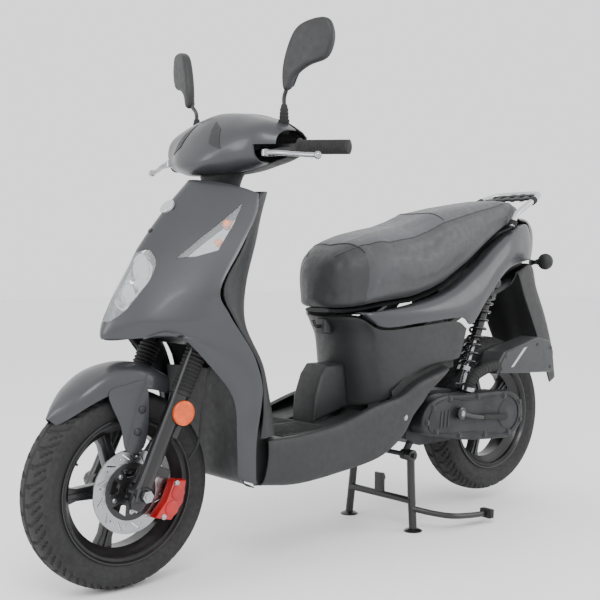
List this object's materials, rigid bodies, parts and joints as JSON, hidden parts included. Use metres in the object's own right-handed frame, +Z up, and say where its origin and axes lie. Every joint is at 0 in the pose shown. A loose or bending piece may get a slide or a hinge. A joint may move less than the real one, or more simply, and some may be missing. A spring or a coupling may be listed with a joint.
{
  "type": "moped scooter",
  "caption": "Step-through moped scooter on its centre stand, with separate body panels, telescopic fork, swinging engine unit, long seat, mirrors and rear rack.",
  "frame": {"origin": "middle of the overall length and width, on the ground under the front tyre and the stand's feet", "axes": "+X to the rear, +Y to the rider's right, +Z up"},
  "size_m": [1.83, 0.704, 1.29],
  "materials": {
    "body_paint": "satin metallic anthracite plastic panel paint",
    "black_plastic": "fine-grained black moulded plastic",
    "rubber_black": "matt black rubber",
    "tyre_rubber": "matt black tyre rubber",
    "black_metal": "satin black paint",
    "cast_alloy": "grey coated casting",
    "steel_bright": "brushed",
    "vinyl_grey": "grained grey seat vinyl",
    "clear_lens": "clear moulded lens",
    "red_plastic": "red lens",
    "caliper_red": "gloss red",
    "silver_paint": "satin silver",
    "spring_steel": "gloss black",
    "reflector_chrome": "bright reflector"
  },
  "bodies": {
    "chassis": {"frame": "black_metal", "front_shield": "body_paint", "headlight_lens": "clear_lens", "headlight_housing": "reflector_chrome", "front_indicator_left": "clear_lens", "front_indicator_right": "clear_lens", "inner_leg_shield": "black_plastic", "floorboard": "rubber_black", "floor_skirt_left": "black_plastic", "floor_skirt_right": "black_plastic", "centre_cover": "black_plastic", "wheel_liner": "black_plastic", "side_panel_left": "body_paint", "side_panel_right": "body_paint", "tail_cowl": "body_paint", "tail_light": "red_plastic", "rear_mudguard": "black_plastic", "rear_indicator_left": "black_plastic", "rear_indicator_right": "black_plastic", "rear_rack": "silver_paint", "storage_tub": "black_plastic"},
    "seat": {"seat_cushion": "vinyl_grey", "seat_base": "black_plastic"},
    "key": {"ignition_key": "steel_bright"},
    "steering": {"fork_upper": "black_metal", "handlebar": "black_metal", "handlebar_cover_front": "body_paint", "handlebar_cover_rear": "black_plastic", "grip_left": "rubber_black"},
    "throttle": {"throttle_grip": "rubber_black"},
    "lever_left": {"brake_lever_left": "steel_bright"},
    "lever_right": {"brake_lever_right": "steel_bright"},
    "horn": {"horn_button": "black_plastic"},
    "starter": {"starter_button": "black_plastic"},
    "turn_switch": {"indicator_switch": "black_plastic"},
    "mirror_arm_left": {"mirror_stem_left": "black_metal"},
    "mirror_arm_right": {"mirror_stem_right": "black_metal"},
    "mirror_left": {"mirror_head_left": "black_plastic"},
    "mirror_right": {"mirror_head_right": "black_plastic"},
    "fork_lower": {"fork_leg_left": "black_metal", "fork_leg_right": "black_metal", "front_axle": "steel_bright", "front_mudguard": "body_paint", "brake_caliper": "caliper_red", "brake_hose": "rubber_black", "speedometer_cable": "rubber_black"},
    "front_wheel": {"front_tyre": "tyre_rubber", "front_rim": "black_metal", "brake_disc": "steel_bright"},
    "swing_unit": {"engine_case": "cast_alloy", "drive_cover": "cast_alloy", "air_box": "black_plastic", "exhaust": "black_metal"},
    "rear_wheel": {"rear_tyre": "tyre_rubber", "rear_rim": "black_metal"},
    "stand": {"centre_stand": "black_metal"},
    "kick": {"kick_lever": "black_metal"},
    "shock_body": {"shock_upper": "black_metal", "shock_spring": "spring_steel"},
    "shock_rod": {"shock_lower": "steel_bright"}
  },
  "joints": [
    {"name": "steering", "type": "hinge", "parent": "chassis", "child": "steering", "pos_m": [-0.773, 0, 0], "axis": [0.4462, 0, 0.8949], "range_deg": [-35, 35]},
    {"name": "fork_travel", "type": "slide", "parent": "steering", "child": "fork_lower", "axis": [0.4462, 0, 0.8949], "range_m": [0, 0.065], "stiffness_N_per_m": 14000, "springref_m": -0.03},
    {"name": "front_wheel_spin", "type": "hinge", "parent": "fork_lower", "child": "front_wheel", "pos_m": [-0.687, 0, 0.228], "axis": [0, 1, 0], "continuous": true},
    {"name": "swing_pivot", "type": "hinge", "parent": "chassis", "child": "swing_unit", "pos_m": [0.108, 0, 0.262], "axis": [0, -1, 0], "range_deg": [0, 6], "stiffness_Nm_per_rad": 1500, "springref_deg": -8.59},
    {"name": "rear_wheel_spin", "type": "hinge", "parent": "swing_unit", "child": "rear_wheel", "pos_m": [0.603, 0, 0.269], "axis": [0, 1, 0], "continuous": true},
    {"name": "shock_tilt", "type": "hinge", "parent": "chassis", "child": "shock_body", "pos_m": [0.548, -0.084, 0.672], "axis": [0, 1, 0], "range_deg": [0, 6]},
    {"name": "shock_travel", "type": "slide", "parent": "shock_body", "child": "shock_rod", "axis": [0.4104, 0, 0.9119], "range_m": [0, 0.03], "deforming": ["shock_spring"]},
    {"name": "stand_pivot", "type": "hinge", "parent": "swing_unit", "child": "stand", "pos_m": [0.174, 0, 0.205], "axis": [0, -1, 0], "range_deg": [0, 72]},
    {"name": "kick_pivot", "type": "hinge", "parent": "swing_unit", "child": "kick", "pos_m": [0.309, -0.173, 0.315], "axis": [0, 1, 0], "range_deg": [0, 50], "stiffness_Nm_per_rad": 4, "springref_deg": -28.65},
    {"name": "seat_hinge", "type": "hinge", "parent": "chassis", "child": "seat", "pos_m": [-0.084, 0, 0.606], "axis": [0, -1, 0], "range_deg": [0, 70]},
    {"name": "key_turn", "type": "hinge", "parent": "chassis", "child": "key", "pos_m": [-0.342, 0.074, 0.846], "axis": [0.9404, 0, 0.3401], "range_deg": [0, 90]},
    {"name": "throttle_turn", "type": "hinge", "parent": "steering", "child": "throttle", "pos_m": [-0.342, 0.228, 1.003], "axis": [0.4251, 0.9043, -0.0386], "range_deg": [0, 75], "stiffness_Nm_per_rad": 0.3, "springref_deg": -22.92},
    {"name": "brake_left", "type": "hinge", "parent": "steering", "child": "lever_left", "pos_m": [-0.408, -0.196, 0.988], "axis": [0, 0, 1], "range_deg": [0, 14], "stiffness_Nm_per_rad": 3, "springref_deg": -17.19},
    {"name": "brake_right", "type": "hinge", "parent": "steering", "child": "lever_right", "pos_m": [-0.408, 0.196, 0.988], "axis": [0, 0, -1], "range_deg": [0, 14], "stiffness_Nm_per_rad": 3, "springref_deg": -17.19},
    {"name": "horn_press", "type": "slide", "parent": "steering", "child": "horn", "axis": [-1, 0, 0], "range_m": [0, 0.003], "stiffness_N_per_m": 500, "springref_m": -0.002},
    {"name": "starter_press", "type": "slide", "parent": "steering", "child": "starter", "axis": [-1, 0, 0], "range_m": [0, 0.003], "stiffness_N_per_m": 500, "springref_m": -0.002},
    {"name": "turn_switch_slide", "type": "slide", "parent": "steering", "child": "turn_switch", "axis": [0, 1, 0], "range_m": [-0.006, 0.006]},
    {"name": "mirror_swivel_left", "type": "hinge", "parent": "steering", "child": "mirror_arm_left", "pos_m": [-0.337, -0.174, 1.066], "axis": [0, 0, 1], "range_deg": [-25, 25]},
    {"name": "mirror_swivel_right", "type": "hinge", "parent": "steering", "child": "mirror_arm_right", "pos_m": [-0.337, 0.174, 1.066], "axis": [0, 0, 1], "range_deg": [-25, 25]},
    {"name": "mirror_tilt_left", "type": "hinge", "parent": "mirror_arm_left", "child": "mirror_left", "pos_m": [-0.342, -0.196, 1.15], "axis": [0.3201, -0.9474, 0], "range_deg": [-12, 12]},
    {"name": "mirror_tilt_right", "type": "hinge", "parent": "mirror_arm_right", "child": "mirror_right", "pos_m": [-0.342, 0.196, 1.15], "axis": [0.3201, 0.9474, 0], "range_deg": [-12, 12]}
  ],
  "couplings": [
    {"joint": "shock_tilt", "follows": "swing_pivot", "ratio": 0.787},
    {"joint": "shock_travel", "follows": "swing_pivot", "m_per_rad": 0.2068}
  ]
}
